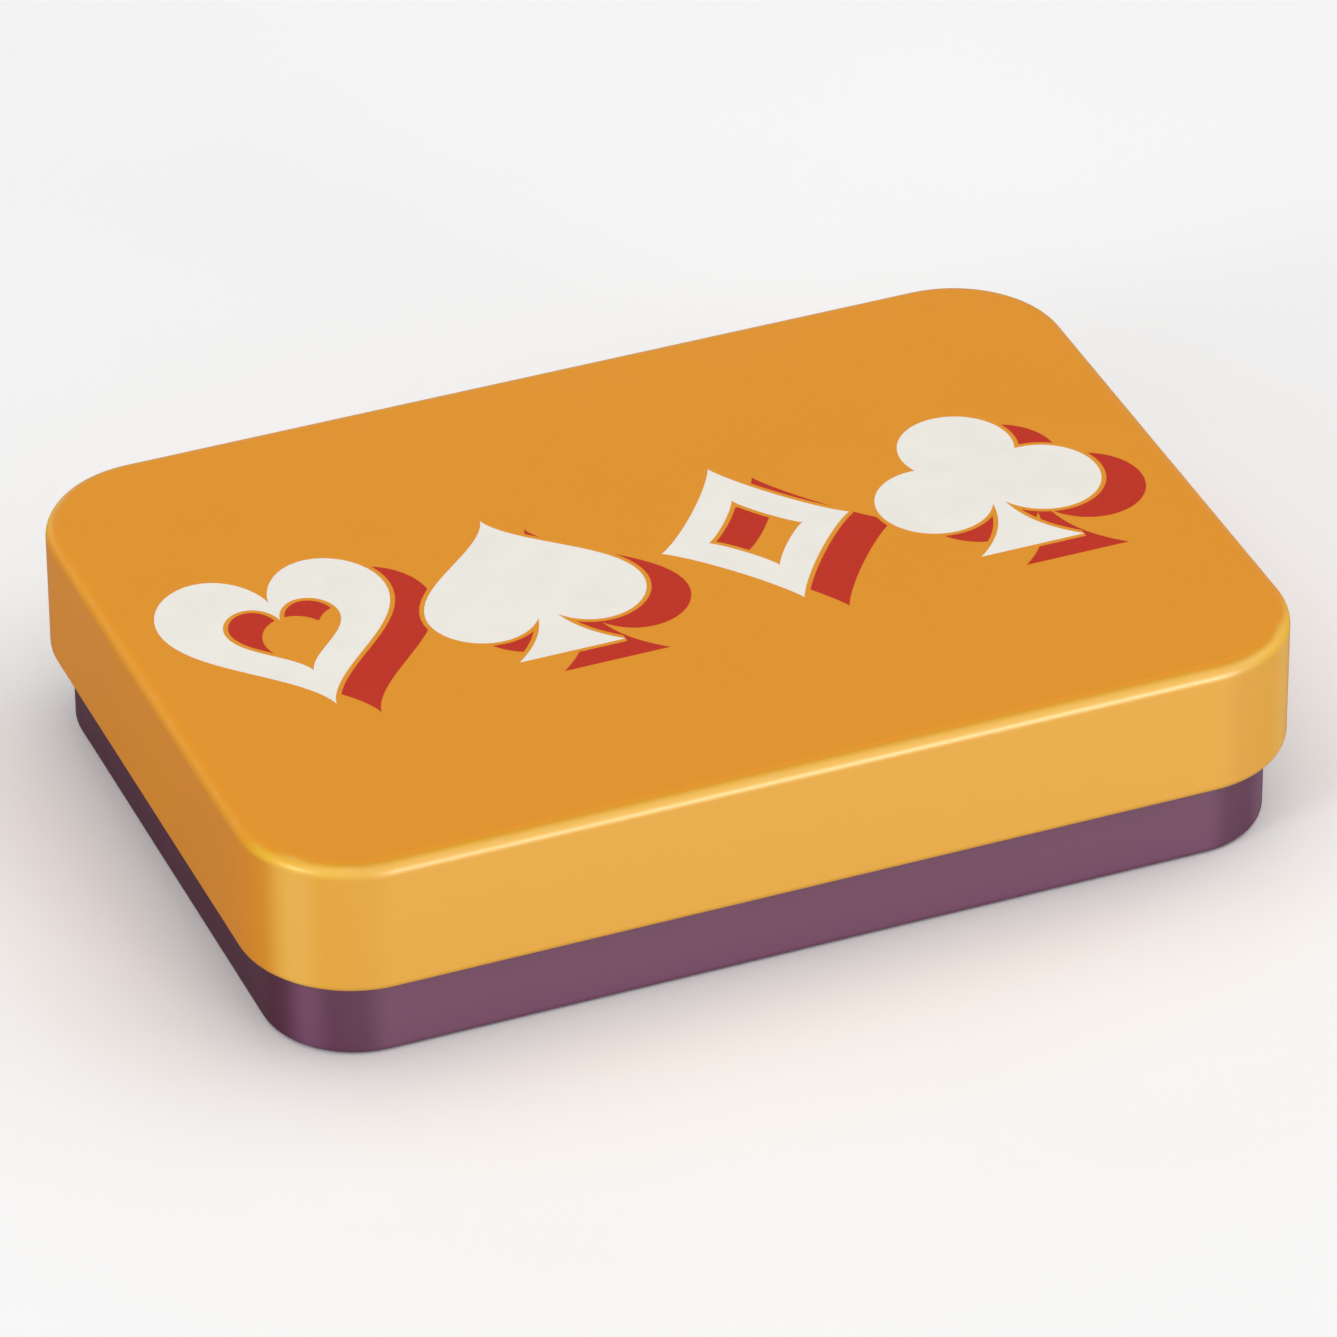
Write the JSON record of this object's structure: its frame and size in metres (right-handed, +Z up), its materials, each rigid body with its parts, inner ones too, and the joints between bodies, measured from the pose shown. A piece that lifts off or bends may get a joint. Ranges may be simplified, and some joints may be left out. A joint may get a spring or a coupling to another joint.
{
  "type": "pocket tin",
  "caption": "Shallow rectangular tinplate pocket tin with round corners: a lift-off slip lid over a stepped-in base, edges rolled inward.",
  "frame": {"origin": "middle of the closed tin's underside, on the plane that the tin stands on", "axes": "+X along the tin's length, +Y across it towards the back, +Z up through the lid"},
  "size_m": [0.1, 0.07, 0.0214],
  "materials": {
    "lid_lacquer": "satin",
    "base_lacquer": "satin",
    "white_ink": "satin",
    "red_ink": "satin"
  },
  "bodies": {
    "base": {"base": "base_lacquer"},
    "lid": {"lid": "lid_lacquer"}
  },
  "joints": [
    {"name": "lid_lift", "type": "slide", "parent": "base", "child": "lid", "axis": [0, 0, 1], "range_m": [0, 0.06]}
  ]
}
